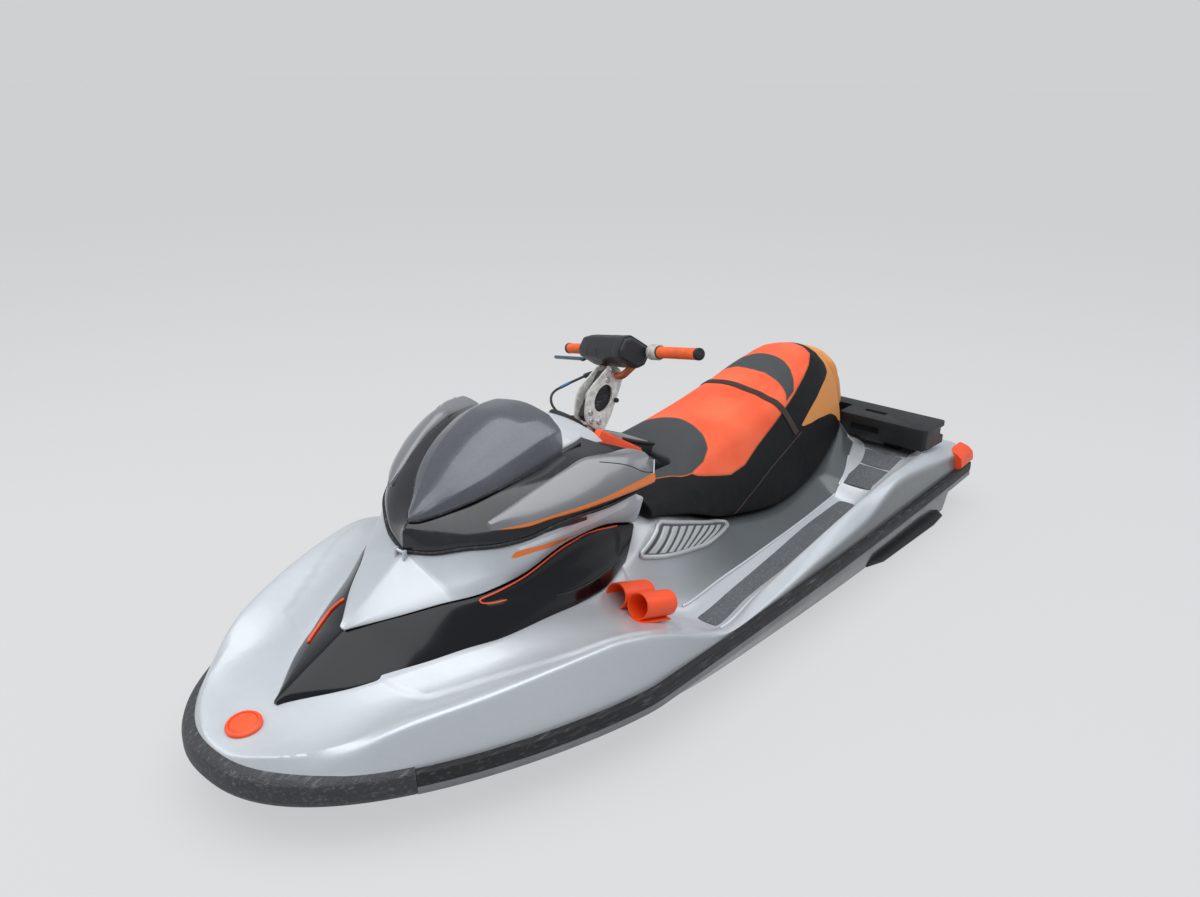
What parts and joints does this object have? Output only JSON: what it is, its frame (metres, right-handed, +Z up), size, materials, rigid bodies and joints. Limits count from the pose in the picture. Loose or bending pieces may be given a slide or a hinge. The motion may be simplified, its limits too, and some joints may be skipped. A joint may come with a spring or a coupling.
{
  "type": "personal watercraft",
  "caption": "Sit-down personal watercraft with handlebar steering, hinged front hood, glovebox, padded seat, footwells, cargo rack and steerable water jet with reverse bucket.",
  "frame": {"origin": "centre of the waterplane, on the centre line at the waterline", "axes": "+X to the bow, +Y to port, +Z up"},
  "size_m": [3.0579, 1.2208, 1.1696],
  "materials": {
    "hull_gelcoat": "gloss black gelcoat",
    "silver_gelcoat": "silver metallic gelcoat",
    "gloss_black": "gloss black",
    "gunmetal_paint": "gunmetal metallic",
    "faded_orange": "sun-faded orange",
    "orange_plastic": "satin orange",
    "orange_grip": "soft orange rubber",
    "orange_paint": "dull orange paint",
    "black_plastic": "moulded black",
    "grey_plastic": "moulded grey",
    "silver_plastic": "satin silver",
    "switch_grey": "pale grey",
    "black_rubber": "textured rubber",
    "seat_vinyl": "orange, grey and black marine vinyl",
    "pad_vinyl": "black vinyl",
    "strap_webbing": "woven strap",
    "mat_foam": "speckled foam",
    "steel": "stainless",
    "pale_aluminium": "machined",
    "cast_aluminium": "cast",
    "engine_metal": "painted block",
    "gauge_glass": "smoked lens",
    "mirror_glass": "mirror",
    "cable_black": "sheath"
  },
  "bodies": {
    "craft": {"hull": "hull_gelcoat", "deck": "silver_gelcoat", "seat_tail": "faded_orange", "side_cowl": "gloss_black", "nose_cowl": "silver_gelcoat", "hood_hinge": "steel", "hood_seal": "black_rubber", "console": "black_plastic", "gauge_pod": "silver_plastic", "gauge": "gauge_glass", "seat": "seat_vinyl", "seat_strap": "strap_webbing", "tail_pedestal": "black_plastic", "footwell_mats": "mat_foam", "aft_mat": "mat_foam", "side_bumpers": "black_rubber", "bow_bumper": "black_rubber", "corner_caps": "orange_plastic", "filler_cap": "orange_plastic", "side_vents": "grey_plastic", "rear_rack": "black_plastic", "cup_holder": "orange_plastic", "sponsons": "black_plastic", "ride_plate": "cast_aluminium", "intake_grate": "cast_aluminium", "pump_housing": "cast_aluminium", "engine_block": "engine_metal", "tow_eyes": "steel"},
    "front_lid": {"hood_shell": "gunmetal_paint", "hood_dome": "gunmetal_paint", "mirror_pods": "gunmetal_paint", "mirror_glasses": "mirror_glass"},
    "glovebox": {"glovebox_lid": "grey_plastic", "glovebox_trim": "orange_plastic"},
    "steering": {"steering_plates": "pale_aluminium", "handlebar": "orange_paint", "bar_pad": "pad_vinyl", "grips": "orange_grip", "grip_ends": "black_rubber", "switch_housings": "switch_grey", "throttle_lever": "black_plastic", "control_cable": "cable_black"},
    "nozzle": {"steering_nozzle": "cast_aluminium"},
    "bucket": {"reverse_bucket": "cast_aluminium"},
    "rotor": {"impeller": "steel"}
  },
  "joints": [
    {"name": "hood_lift", "type": "hinge", "parent": "craft", "child": "front_lid", "pos_m": [0.932, 0, 0.486], "axis": [0, 1, 0], "range_deg": [0, 45]},
    {"name": "glovebox_lift", "type": "hinge", "parent": "craft", "child": "glovebox", "pos_m": [0.12482, 0, 0.58859], "axis": [0, 1, 0], "range_deg": [0, 55]},
    {"name": "steering_turn", "type": "hinge", "parent": "craft", "child": "steering", "pos_m": [0.188, 0, 0.624], "axis": [-0.6, 0, 0.8], "range_deg": [-5, 45]},
    {"name": "nozzle_turn", "type": "hinge", "parent": "craft", "child": "nozzle", "pos_m": [-1.3, 0, -0.125], "axis": [0, 0, 1], "range_deg": [-36, 4]},
    {"name": "bucket_swing", "type": "hinge", "parent": "craft", "child": "bucket", "pos_m": [-1.3, 0, -0.125], "axis": [0, -1, 0], "range_deg": [0, 70]},
    {"name": "impeller_spin", "type": "hinge", "parent": "craft", "child": "rotor", "pos_m": [-1.01, 0, -0.125], "axis": [1, 0, 0], "continuous": true}
  ],
  "couplings": [
    {"joint": "nozzle_turn", "follows": "steering_turn", "ratio": -0.8}
  ]
}
